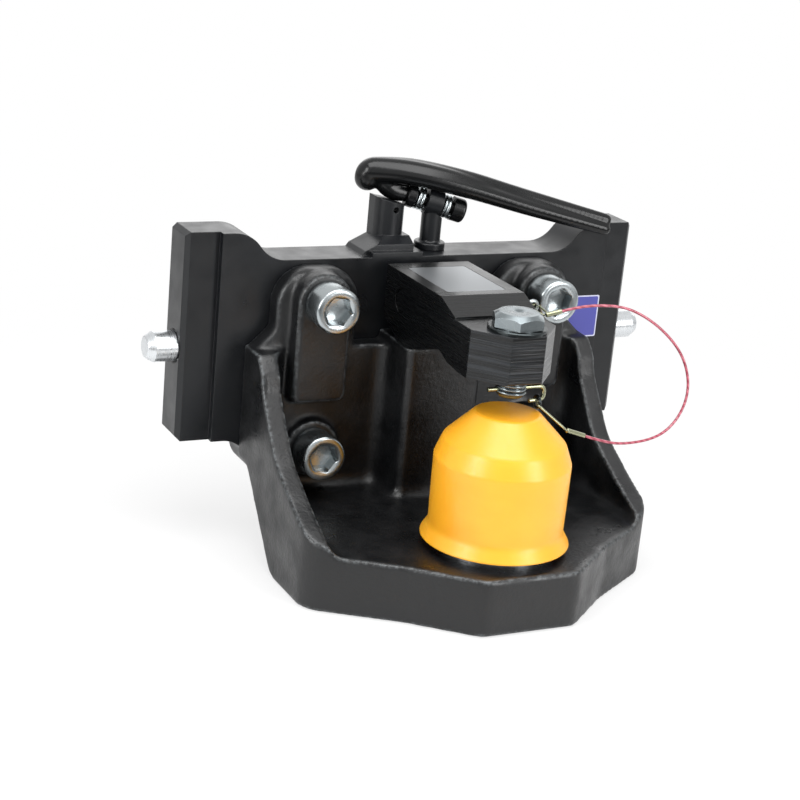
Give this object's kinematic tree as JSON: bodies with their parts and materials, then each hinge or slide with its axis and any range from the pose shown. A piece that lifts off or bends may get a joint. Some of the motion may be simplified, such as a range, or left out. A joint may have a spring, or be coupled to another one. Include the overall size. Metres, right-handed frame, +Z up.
{
  "type": "ball hitch",
  "caption": "Height-adjustable tow ball hitch: sliding plate with lever-drawn locking pins, cast ball bracket, hinged hold-down arm, covered ball and tethered safety clip.",
  "frame": {"origin": "centre of the tow ball", "axes": "+Z up along the ball's shank, +X to the right seen from the trailer, +Y towards the tractor"},
  "size_m": [0.368, 0.2255, 0.251],
  "materials": {
    "plate_paint": "satin black paint",
    "casting_paint": "satin black paint over cast skin",
    "black_steel": "black coating over machined faces",
    "handle_coat": "glossy black dip coating",
    "black_plastic": "glossy black",
    "zinc": "bright zinc plating",
    "cover_zinc": "dark coated pressing",
    "spring_steel": "zinc plated wire",
    "bright_steel": "turned",
    "ball_steel": "turned and greased",
    "yellow_plastic": "moulded polyethylene",
    "red_cord": "plastic covered wire rope"
  },
  "bodies": {
    "base": {"slider_plate": "plate_paint", "gear_cover": "cover_zinc", "cover_screws": "zinc", "hitch_bracket": "casting_paint", "bracket_bolts": "zinc", "tow_ball": "ball_steel", "ball_washer": "zinc", "ball_nut": "zinc", "arm_pivot_pin": "bright_steel"},
    "shaft": {"lever_shaft": "black_steel", "return_spring": "spring_steel", "lever_handle": "handle_coat", "leg_sleeve": "handle_coat", "leg_springs": "spring_steel", "leg_cap": "black_plastic"},
    "pinion_left": {"pinion_left": "bright_steel"},
    "pinion_right": {"pinion_right": "bright_steel"},
    "pin_left": {"locking_pin_left": "bright_steel", "rack_left": "bright_steel", "rack_screw_left": "zinc"},
    "pin_right": {"locking_pin_right": "bright_steel", "rack_right": "bright_steel", "rack_screw_right": "zinc"},
    "arm": {"hold_down_arm": "black_steel", "hold_down_bolt": "zinc", "hold_bolt_washer": "zinc", "safety_clip": "zinc", "clip_ring": "zinc", "lanyard_eye": "zinc", "lanyard_loops": "zinc", "lanyard_ferrules": "zinc", "lanyard_cord": "red_cord"},
    "cap": {"ball_cap": "yellow_plastic"}
  },
  "joints": [
    {"name": "shaft_lift", "type": "slide", "parent": "base", "child": "shaft", "axis": [0, 0, 1], "range_m": [0, 0.0195], "stiffness_N_per_m": 350, "springref_m": -0.012, "deforming": ["return_spring"]},
    {"name": "pin_left_slide", "type": "slide", "parent": "base", "child": "pin_left", "axis": [1, 0, 0], "range_m": [0, 0.0196]},
    {"name": "pin_right_slide", "type": "slide", "parent": "base", "child": "pin_right", "axis": [-1, 0, 0], "range_m": [0, 0.0196]},
    {"name": "pinion_left_turn", "type": "hinge", "parent": "base", "child": "pinion_left", "pos_m": [-0.0105, 0.15, 0.064], "axis": [0, -1, 0], "range_deg": [0, 125]},
    {"name": "pinion_right_turn", "type": "hinge", "parent": "base", "child": "pinion_right", "pos_m": [0.0395, 0.15, 0.064], "axis": [0, 1, 0], "range_deg": [0, 125]},
    {"name": "arm_swing", "type": "hinge", "parent": "base", "child": "arm", "pos_m": [0, 0.1, 0.086], "axis": [-1, 0, 0], "range_deg": [0, 80]},
    {"name": "cap_turn", "type": "hinge", "parent": "base", "child": "cap", "pos_m": [0, 0, 0], "axis": [0, 0, 1], "continuous": true}
  ],
  "couplings": [
    {"joint": "pin_left_slide", "follows": "shaft_lift", "ratio": 1},
    {"joint": "pin_right_slide", "follows": "shaft_lift", "ratio": 1},
    {"joint": "pinion_left_turn", "follows": "shaft_lift", "rad_per_m": 111.11},
    {"joint": "pinion_right_turn", "follows": "shaft_lift", "rad_per_m": 111.11}
  ]
}
